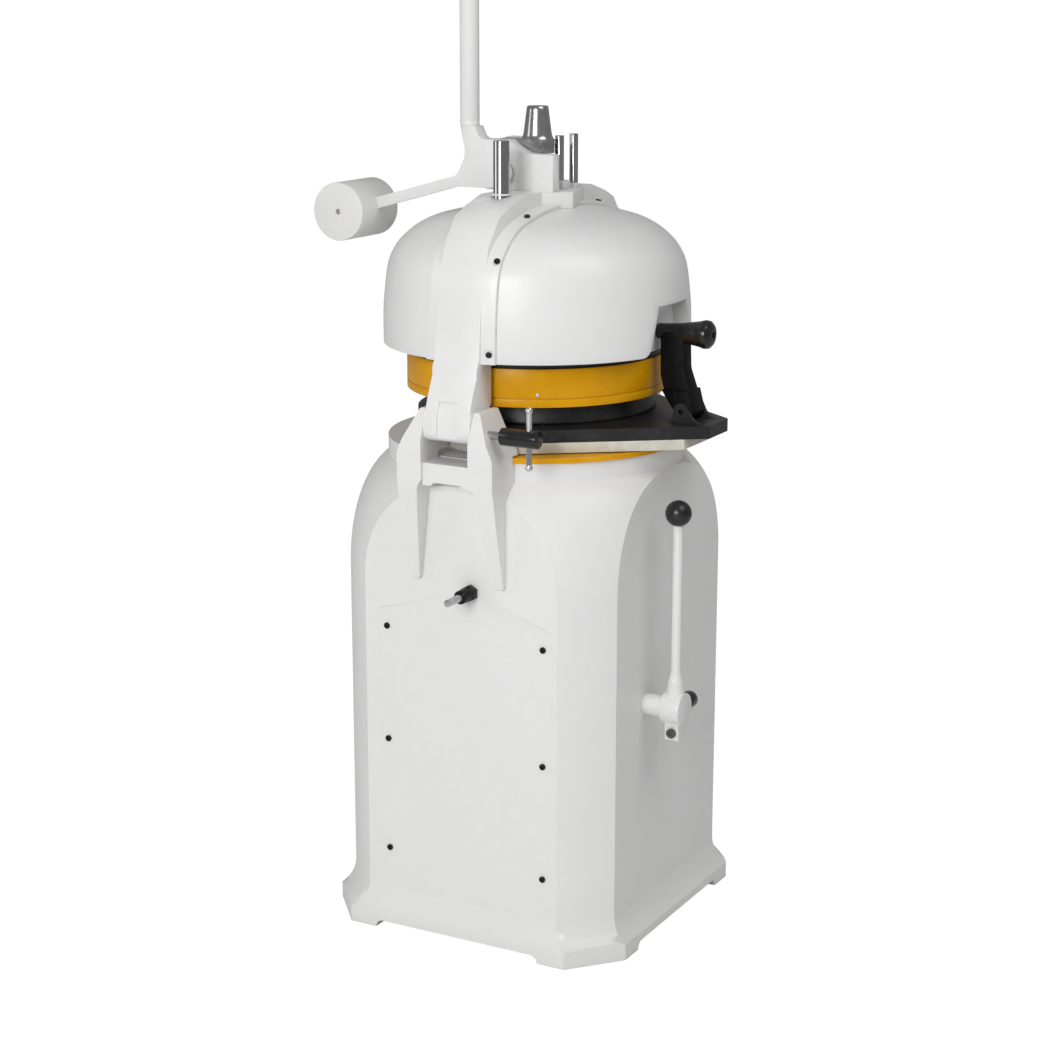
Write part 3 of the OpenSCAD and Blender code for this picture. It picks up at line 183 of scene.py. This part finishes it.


# %% [markdown]
# The castings wear thick white enamel. Seen close it is never flat: it has the slight ripple of
# sprayed paint, painted shade that darkens its tight inner angles, and a duller band of real dirt
# near the floor where a mop and shoes have passed. Each of these is one line of arithmetic on noise.

# %% White enamel
def enamel(name, colour, shade_and_stain_tint, rough=0.36, ripple=0.00012, stain_and_shade_amount=0.35):
    material, shader, start, place = paint_can(name)
    cloud = grain(place, 5.0, 4.0)
    fine = grain(place, 60.0, 4.0)
    low = 1.0 - start.node("ShaderNodeSeparateXYZ", inputs={0: place}, out="Z").between(0.0, 0.16)
    # Painted shade in tight inner angles, plus real dirt in a band near the floor
    grime_and_shade = (corner_shade(start) * (0.5 + fine) + low * low * (0.15 + 0.35 * fine)) * stain_and_shade_amount
    tone = (0.6 * cloud + 0.4 * fine).between(0.35, 0.65)
    clean = tone.mix(rgb(*[c * 0.972 for c in colour]), rgb(*colour))
    worn_and_shaded = grime_and_shade.math("MINIMUM", grime_and_shade, 0.8)
    # The enamel is mixed towards a dark tint where that painted shade and dirt fall
    connect(start, shader, worn_and_shaded.mix(clean, rgb(*shade_and_stain_tint)),
            (rough - 0.03) + 0.08 * cloud + 0.25 * worn_and_shaded,
            grain(place, 260.0, 2.0) + 0.35 * grain(place, 45.0, 2.0), ripple)
    set_all(shader, Coat_Weight=0.12, Coat_Roughness=0.25, Specular_IOR_Level=0.4)
    return material


white_enamel = enamel("white_enamel", (0.82, 0.82, 0.815), (0.42, 0.39, 0.33))
print("white enamel nodes", len(white_enamel.node_tree.nodes))

# %% [markdown]
# The two rings are yellow. Their paint has small brown flecks, and painted shade darkens it
# where parts meet at a tight angle. The yellow is deep, nearer to egg yolk than to lemon. The black paint
# is satin, with
# dust in its grain. The latch wears a deeper black, and the steel parts a dark grey.

# %% Yellow, black and dark paints
def yellow_paint():
    material, shader, start, place = paint_can("yellow_paint")
    cloud = grain(place, 9.0, 4.0)
    fleck = grain(place, 140.0, 5.0, 0.7).between(0.62, 0.72)
    tone = cloud.between(0.35, 0.65).mix(rgb(0.66, 0.305, 0.001), rgb(0.80, 0.385, 0.002))
    # Painted shade in tight inner angles, plus real brown flecks
    flecks_and_shade = corner_shade(start, 0.012) * 0.6 + 0.25 * fleck
    connect(start, shader, flecks_and_shade.mix(tone, rgb(0.16, 0.08, 0.01)),
            0.27 + 0.12 * cloud + 0.2 * fleck, grain(place, 240.0, 2.0), 0.0001)
    set_all(shader, Coat_Weight=0.05, Coat_Roughness=0.2, Specular_IOR_Level=0.18)
    return material


def black_paint(name, base, rough, scuff=0.5, gloss=0.35):
    """Satin black with dust in its grain and fine bright scuffs."""
    material, shader, start, place = paint_can(name)
    cloud = grain(place, 14.0, 4.0)
    streak = grain(place, 60.0, 5.0, 0.7, (6.0, 1.0, 6.0)).between(0.62, 0.78)
    dusty = (0.5 * cloud + 0.5 * grain(place, 90.0, 4.0)).between(0.45, 0.75)
    tone = dusty.mix(rgb(*base), rgb(*[c * 2.2 + 0.006 for c in base]))
    connect(start, shader, (streak * scuff).mix(tone, rgb(0.16, 0.155, 0.15)),
            rough + 0.12 * cloud - 0.08 * streak, grain(place, 300.0, 3.0), 0.00015)
    set_all(shader, Specular_IOR_Level=gloss)
    return material


finishes = {
    "white_paint": white_enamel,
    "yellow_paint": yellow_paint(),
    "black_paint": black_paint("satin_black", (0.016, 0.016, 0.017), 0.36),
    "latch_black": black_paint("latch_black", (0.0015, 0.0015, 0.002), 0.42, 0.1, 0.12),
    "dark_steel": black_paint("dark_steel", (0.085, 0.083, 0.080), 0.38, 0.25),
    "box_grey": enamel("grey_enamel", (0.33, 0.34, 0.35), (0.14, 0.13, 0.12)),
}
print("paints", sorted(finishes))

# %% [markdown]
# Metals differ mostly in how their highlight spreads. Turned bars carry fine tool marks, hard
# chrome is almost a mirror with faint wipe marks, and bare castings are dull and pitted.

# %% Metals
def metal(name, colour, rough, lines=None, pits=0.0, marks=0.1):
    """Bare metal; lines is a stretch that draws the tool's marks, pits a cast grain."""
    material, shader, start, place = paint_can(name)
    cloud = grain(place, 22.0, 4.0)
    smear = grain(place, 55.0, 5.0, 0.65)
    height = grain(place, 420.0, 3.0) * max(pits, 0.15)
    if lines:
        height = height + grain(place, 260.0, 2.0, 0.5, lines) * 0.6
    tone = (0.5 * cloud + 0.5 * smear).between(0.35, 0.7)
    connect(start, shader, tone.mix(rgb(*[c * 0.82 for c in colour]), rgb(*colour)),
            rough + marks * (smear - 0.5), height, 0.0001 + 0.0004 * pits)
    set_all(shader, Metallic=1.0)
    return material


finishes["blackened"] = metal("blackened_steel", (0.035, 0.035, 0.036), 0.30, None, 0.2)
finishes["polished_casting"] = metal("polished_casting", (0.48, 0.48, 0.485), 0.22, None, 0.3, 0.14)
finishes["dark_chrome"] = metal("ground_chrome", (0.50, 0.50, 0.515), 0.09, None, 0.0, 0.06)
finishes["steel"] = metal("turned_steel", (0.56, 0.56, 0.57), 0.30, (0.06, 0.06, 3.0))
finishes["bearing_steel"] = metal("ground_steel", (0.60, 0.60, 0.61), 0.22, (0.06, 0.06, 3.0))
finishes["chrome"] = metal("hard_chrome", (0.74, 0.75, 0.77), 0.10, None, 0.0, 0.08)
finishes["pads_alu"] = metal("cast_aluminium", (0.62, 0.63, 0.64), 0.36, None, 0.4)
finishes["cast"] = metal("bare_casting", (0.26, 0.26, 0.27), 0.52, None, 1.0)
print("with metals", len(finishes))

# %% [markdown]
# The press head is cast, but the thick post that guides it is hard chrome. Both are one piece
# with one material, so height decides: above a set height, where only the post reaches, the
# colour darkens and the roughness drops, as on a polished bar.

# %% Press head with its chromed post
def chrome_above(name, height):
    material, shader, start, place = paint_can(name)
    above = start.node("ShaderNodeSeparateXYZ", inputs={0: place}, out="Z").between(height, height + 0.002)
    cloud = grain(place, 22.0, 4.0).between(0.35, 0.7)
    cast = cloud.mix(rgb(0.51, 0.52, 0.53), rgb(0.62, 0.63, 0.64))
    connect(start, shader, above.mix(cast, rgb(0.40, 0.40, 0.415)),
            0.36 + 0.08 * cloud - 0.30 * above, grain(place, 420.0, 3.0) * (1.0 - above), 0.0003)
    set_all(shader, Metallic=1.0)
    return material


POST_FROM = 1.20
finishes["press_finish"] = chrome_above("press_finish", POST_FROM)
print("post is chromed above", POST_FROM)

# %% [markdown]
# Knobs and the grip are pressed black plastic. It is glossy, but hands leave a haze that breaks
# the highlight. The pad between the body and the plate is a pale rubber sheet, and the belt is
# matt black rubber with a fine grain.

# %% Plastics and rubber
def plastic(name, colour, rough=0.18, haze=0.16):
    material, shader, start, place = paint_can(name)
    hands = grain(place, 34.0, 5.0, 0.6).between(0.42, 0.7)
    connect(start, shader, hands.mix(rgb(*colour), rgb(*[c * 1.5 + 0.004 for c in colour])),
            rough + haze * hands, grain(place, 180.0, 2.0), 0.00005)
    return material


def rubber(name, colour, rough):
    material, shader, start, place = paint_can(name)
    mottle = grain(place, 40.0, 5.0).between(0.35, 0.68)
    connect(start, shader, mottle.mix(rgb(*[c * 0.8 for c in colour]), rgb(*colour)),
            rough + 0.1 * mottle, grain(place, 700.0, 3.0), 0.0002)
    set_all(shader, Specular_IOR_Level=0.35)
    return material


finishes["black_plastic"] = plastic("black_plastic", (0.008, 0.008, 0.009))
finishes["start_green"] = plastic("green_plastic", (0.01, 0.20, 0.04))
finishes["stop_red"] = plastic("red_plastic", (0.45, 0.012, 0.010))
finishes["pad"] = rubber("pad_rubber", (0.76, 0.735, 0.64), 0.62)
finishes["belt"] = rubber("belt_rubber", (0.018, 0.018, 0.018), 0.72)
print("all finishes", len(finishes))

# %% [markdown]
# The measured solids have knife-sharp edges, which no casting has. A Weld joins the seams of the
# imported faces, a Bevel rounds the edges sharper than a set angle, and a short geometry graph
# shades the rest smoothly. The pedestal, its cover, the brackets and the base plate also get
# weighted normals, so that their broad flats stay even right up to an edge. All are modifiers,
# so the measured vertices stay untouched.

# %% Softened edges
def smooth_by_angle(limit):
    """A geometry graph that shades smoothly but keeps edges sharper than limit degrees."""
    group = bpy.data.node_groups.new("smooth_%d" % limit, "GeometryNodeTree")
    group.interface.new_socket("Geometry", in_out="INPUT", socket_type="NodeSocketGeometry")
    group.interface.new_socket("Geometry", in_out="OUTPUT", socket_type="NodeSocketGeometry")
    inside = Sock(group, group.nodes.new("NodeGroupInput").outputs[0])
    faces = inside.node("GeometryNodeSetShadeSmooth", {"domain": "FACE"}, {"Geometry": inside})
    angle = inside.node("GeometryNodeInputMeshEdgeAngle")
    gentle = inside.node("FunctionNodeCompare", {"data_type": "FLOAT", "operation": "LESS_THAN"},
                         {0: angle, 1: math.radians(limit)})
    edges = inside.node("GeometryNodeSetShadeSmooth", {"domain": "EDGE"},
                        {"Geometry": faces, "Shade Smooth": gentle})
    inside.plug(group.nodes.new("NodeGroupOutput").inputs[0], edges)
    return group


SMOOTH_BELOW = 32
smoothing = smooth_by_angle(SMOOTH_BELOW)
WELD_REACH = 0.00002


def soften(piece, width, segments=2, angle=34, flats=False):
    """Welds, bevels and smooths a piece; width is the radius of its edges in metres.

    With flats, the broad faces keep their own direction right up to a rounded edge.
    """
    if "custom_normal" in piece.data.attributes:
        piece.data.attributes.remove(piece.data.attributes["custom_normal"])
    weld = piece.modifiers.new("weld", "WELD")
    weld.merge_threshold = WELD_REACH
    if width:
        bevel = piece.modifiers.new("edge", "BEVEL")
        bevel.width, bevel.segments = width, segments
        bevel.limit_method, bevel.angle_limit = "ANGLE", math.radians(angle)
        bevel.use_clamp_overlap, bevel.miter_outer = True, "MITER_ARC"
    shade = piece.modifiers.new("shade", "NODES")
    shade.node_group = smoothing
    if flats:
        level = piece.modifiers.new("flats", "WEIGHTED_NORMAL")
        level.keep_sharp = True
    return piece


print("smooth below", SMOOTH_BELOW, "degrees")

# %% [markdown]
# Each node takes the finish that its slot names in the record. A few differ from their slot, such
# as the blackened screws or the chromed rods, and are listed by name. The castings and the latch
# have rounder edges, and all that isn't listed gets a fine one.

# %% Dress every node
FINE_EDGE = 0.0006
owner = {name: body for body, names in frame["record"]["behaviour"]["bodies"].items() for name in names}
slots = {part["node"]: part["material_slot"] for part in frame["record"]["subparts"]}
edge_width = {"pedestal": 0.0025, "bridge": 0.0025, "hinge_bracket": 0.0025, "rest_bracket": 0.0025,
              "base_plate": 0.0015, "lever_casting": 0.002, "guide_block": 0.002, "side_cover": 0,
              "front_hood": 0.0015, "rear_hood": 0.0015, "bearing_plates": 0.002, "latch_column": 0.003}
special = {"side_cover_screws": "blackened", "hood_screws": "blackened", "adjusting_nut": "blackened",
           "rack_cover": "polished_casting",
           "latch_column": "latch_black", "guide_rods": "dark_chrome", "press_head": "press_finish"}
broad = ("pedestal", "hinge_bracket", "rest_bracket", "base_plate", "side_cover")
for name, piece in nodes.items():
    piece.data.materials.clear()
    piece.data.materials.append(finishes[special.get(name, slots[name])])
    soften(piece, edge_width.get(name, FINE_EDGE), flats=name in broad)
print("dressed", len(nodes))

# %% [markdown]
# A few pieces are turned here, as on a lathe, in place of their plain solid or beside it. A
# profile of radius and height is spun about an axis. With less than a full turn the two ends are
# closed with a face each, so that the mesh stays a solid body without stray faces.

# %% Turning a profile
def spin_profile(mesh, profile, steps, span=math.tau, start=0.0):
    """Adds to mesh the body that a profile sweeps about Z, from the angle start over span."""
    points = [mesh.verts.new((r * math.cos(start), r * math.sin(start), z)) for r, z in profile]
    closed = profile[0][0] > 0
    pairs = list(zip(points, points[1:])) + ([(points[-1], points[0])] if closed else [])
    edges = [mesh.edges.new(pair) for pair in pairs]
    swept = bmesh.ops.spin(mesh, geom=points + edges, cent=(0, 0, 0), axis=(0, 0, 1), angle=span,
                           steps=steps, use_merge=span == math.tau)
    if span < math.tau:
        mesh.faces.new(points)
        mesh.faces.new([v for v in swept["geom_last"] if isinstance(v, bmesh.types.BMVert)])
    bmesh.ops.remove_doubles(mesh, verts=mesh.verts, dist=1e-7)
    bmesh.ops.recalc_face_normals(mesh, faces=mesh.faces)


def finish_piece(name, mesh, body, slot, where=(0, 0, 0), facing=None, replaced=None):
    """Turns mesh into an object, dressed and riding on body; facing is where its Z axis points."""
    piece = bpy.data.objects.new(name, bpy.data.meshes.new(name))
    mesh.to_mesh(piece.data)
    mesh.free()
    bpy.context.scene.collection.objects.link(piece)
    piece.location = where
    if facing:
        piece.rotation_euler = Vector(facing).to_track_quat("Z", "Y").to_euler()
    piece.data.materials.append(finishes[slot])
    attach(piece, body)
    if replaced:
        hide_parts(replaced)
    return soften(piece, 0)


def turned(name, profile, where, facing, body, slot, replaced=None, steps=64):
    mesh = bmesh.new()
    spin_profile(mesh, profile, steps)
    return finish_piece(name, mesh, body, slot, where, facing, replaced)


def middle(low, high):
    return [(a + b) / 2 for a, b in zip(low, high)]


# %% [markdown]
# The dough ring carries a short pale pin on its side. It stands square to the ring, so its place
# and its direction both follow from one angle about the press axis.

# %% Ring pin
RING_PIN_R = 0.0032
RING_PIN_LENGTH = 0.0045
RING_PIN_EDGE = 0.0008
RING_PIN_SUNK = 0.001
RING_PIN_HEIGHT = 0.023
RING_PIN_TURN = math.radians(208.6)
ring_low, ring_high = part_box("dough_ring")
ring_radius = (ring_high[0] - ring_low[0]) / 2
outward = Vector((math.cos(RING_PIN_TURN), math.sin(RING_PIN_TURN), 0))
lift = Vector((0, 0, ring_low[2] + RING_PIN_HEIGHT))
turned("ring_pin",
       [(0, 0), (RING_PIN_R, 0), (RING_PIN_R, RING_PIN_LENGTH - RING_PIN_EDGE),
        (RING_PIN_R - RING_PIN_EDGE, RING_PIN_LENGTH), (0, RING_PIN_LENGTH)],
       outward * (ring_radius - RING_PIN_SUNK) + lift, outward, "head", "white_paint", steps=32)
print("ring pin at", [round(v, 3) for v in outward * ring_radius + lift])

# %% [markdown]
# The hinge pin is turned a little shorter than its solid, so that its rear end is level with the
# bracket's ear and doesn't poke out.

# %% Hinge pin
PIN_EDGE = 0.001
PIN_SHORTER = 0.019
low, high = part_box("hinge_pin")
pin_radius = (high[0] - low[0]) / 2
pin_length = high[1] - low[1] - PIN_SHORTER
axis = middle(low, high)
turned("hinge_pin_turned",
       [(0, 0), (pin_radius - PIN_EDGE, 0), (pin_radius, PIN_EDGE), (pin_radius, pin_length - PIN_EDGE),
        (pin_radius - PIN_EDGE, pin_length), (0, pin_length)],
       (axis[0], low[1], axis[2]), (0, 1, 0), owner["hinge_pin"], slots["hinge_pin"],
       replaced="hinge_pin", steps=40)
print("hinge pin", round(pin_length, 3), "m long")

# %% [markdown]
# The counterweight is a turned bar with broken edges and a centre hole in its outer face. It
# covers the end of the lever's arm, so the arm enters it without a seam.

# %% Counterweight
HOLE_R = 0.005
HOLE_DEPTH = 0.010
EDGE = 0.002
FACET = 0.0006
low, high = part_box("counterweight")
weight_radius = (high[1] - low[1]) / 2
weight_length = high[0] - low[0]
axis = middle(low, high)
turned("counterweight_turned",
       [(0, HOLE_DEPTH), (HOLE_R, HOLE_DEPTH), (HOLE_R, FACET), (HOLE_R + FACET, 0),
        (weight_radius - EDGE, 0), (weight_radius - FACET, FACET), (weight_radius, EDGE),
        (weight_radius, weight_length - EDGE), (weight_radius - FACET, weight_length - FACET),
        (weight_radius - EDGE, weight_length), (0, weight_length)],
       (low[0], axis[1], axis[2]), (1, 0, 0), owner["counterweight"], slots["counterweight"],
       replaced="counterweight", steps=96)
print("counterweight radius", round(weight_radius, 3))

# %% [markdown]
# The lower yellow ring shows in the photograph only on the operator's side, between the two
# brackets, and nothing yellow stands out behind the hinge. So the ring is drawn as a white seat
# all round under the plate, with a yellow apron that runs round the front from ear to ear.

# %% Lower ring with its front apron
low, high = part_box("base_ring")
apron_radius = (high[0] - low[0]) / 2
SEAT_R = 0.210
SEAT_HOLE_R = 0.150
APRON_EDGE = 0.001
APRON_DROP = 0.002
EAR_HALF = 0.060
apron_top = high[2] - APRON_DROP
ear_turn = math.asin(EAR_HALF / apron_radius)
seat = bmesh.new()
spin_profile(seat, [(SEAT_HOLE_R, low[2]), (SEAT_R, low[2]), (SEAT_R, high[2]),
                    (SEAT_HOLE_R, high[2])], 96)
finish_piece("ring_seat", seat, owner["base_ring"], "white_paint", replaced="base_ring")
apron = bmesh.new()
spin_profile(apron, [(SEAT_R, low[2]), (apron_radius, low[2]), (apron_radius, apron_top - APRON_EDGE),
                     (apron_radius - APRON_EDGE, apron_top), (SEAT_R, apron_top)],
             64, math.pi - 2 * ear_turn, math.pi + ear_turn)
finish_piece("ring_apron", apron, owner["base_ring"], slots["base_ring"], replaced="base_ring")
print("apron radius", round(apron_radius, 3))

# %% [markdown]
# The service cover was painted in place, so the enamel bridges its joint and only the screws
# give it away. A thin bead of paint fills the gap just below the surface.

# %% Paint in the cover's joint
low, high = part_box("side_cover")
JOINT = 0.0005
BEAD_FROM = 0.0001
BEAD_TO = 0.0012
bead = bmesh.new()
rings = []
for x in (low[0] + BEAD_FROM, low[0] + BEAD_TO):
    for grow in (JOINT, 0.0):
        rings.append([bead.verts.new((x, y, z)) for y, z in (
            (low[1] - grow, low[2] - grow), (high[1] + grow, low[2] - grow),
            (high[1] + grow, high[2] + grow), (low[1] - grow, high[2] + grow))])
for a, b in ((0, 1), (1, 3), (3, 2), (2, 0)):
    for i in range(4):
        j = (i + 1) % 4
        bead.faces.new((rings[a][i], rings[a][j], rings[b][j], rings[b][i]))
bmesh.ops.recalc_face_normals(bead, faces=bead.faces)
finish_piece("cover_joint", bead, "pedestal", "white_paint")
print("cover joint", round(high[2] - low[2], 3), "m high")

# %% [markdown]
# The floor is only a stage. It takes the machine's shadow, but a glow that only the camera sees
# lifts it close to white, as on a product photograph.

# %% Floor
FLOOR_REACH = 14.0
FLOOR_GLOW = 1.22
GLOW_SHARE = 0.78
floor_mesh = bmesh.new()
bmesh.ops.create_grid(floor_mesh, x_segments=1, y_segments=1, size=FLOOR_REACH)
floor = bpy.data.objects.new("floor", bpy.data.meshes.new("floor"))
floor_mesh.to_mesh(floor.data)
floor_mesh.free()
bpy.context.scene.collection.objects.link(floor)


def pale_floor():
    """White to the camera, with a share of the real shadow left in it."""
    material, shader, start, place = paint_can("pale_floor")
    set_all(shader, Base_Color=rgb(0.86, 0.86, 0.86), Roughness=0.6)
    seen = start.node("ShaderNodeLightPath", out="Is Camera Ray")
    glow = start.node("ShaderNodeEmission", inputs={"Color": rgb(1, 1, 1), "Strength": FLOOR_GLOW})
    lit = Sock(start.tree, shader.outputs[0])
    both = start.node("ShaderNodeMixShader", inputs={0: seen * GLOW_SHARE, 1: lit, 2: glow})
    start.plug(start.tree.nodes["Material Output"].inputs["Surface"], both)
    return material


floor.data.materials.append(pale_floor())
print("floor reaches", FLOOR_REACH)

# %% [markdown]
# The world is plain white too. It lights the machine weakly, so that shadows stay open, and
# looks brighter to the camera than it shines.

# %% World
SKY_LIGHT = 0.30
SKY_SEEN = 0.75
world = bpy.data.worlds.new("studio")
bpy.context.scene.world = world
world.use_nodes = True
sky = Sock(world.node_tree)
seen = sky.node("ShaderNodeLightPath", out="Is Camera Ray")
sky.plug(world.node_tree.nodes["Background"].inputs["Color"], rgb(1, 1, 1))
sky.plug(world.node_tree.nodes["Background"].inputs["Strength"], SKY_LIGHT + SKY_SEEN * seen)
print("world", world.name)


# %% [markdown]
# The photograph was taken with the light from the machine's left: the service side is bright and
# the operator's side falls into grey. One large lamp on that side does most of it. Two weaker
# ones, above and behind, lift the crown and the rear.

# %% Lamps
def lamp(name, where, aim, size, watts):
    light = bpy.data.lights.new(name, "AREA")
    light.shape, light.size, light.energy = "DISK", size, watts
    holder = bpy.data.objects.new(name, light)
    holder.location = where
    holder.rotation_euler = (Vector(aim) - Vector(where)).to_track_quat("-Z", "Y").to_euler()
    bpy.context.scene.collection.objects.link(holder)
    return holder


lamp("side_light", (-4.2, -0.5, 2.2), (0, 0, 0.8), 1.8, 86)
lamp("top_light", (-0.6, -2.4, 4.2), (0, 0, 1.0), 2.6, 44)
lamp("rear_light", (-2.6, 3.6, 2.4), (0, 0, 0.9), 1.6, 18)
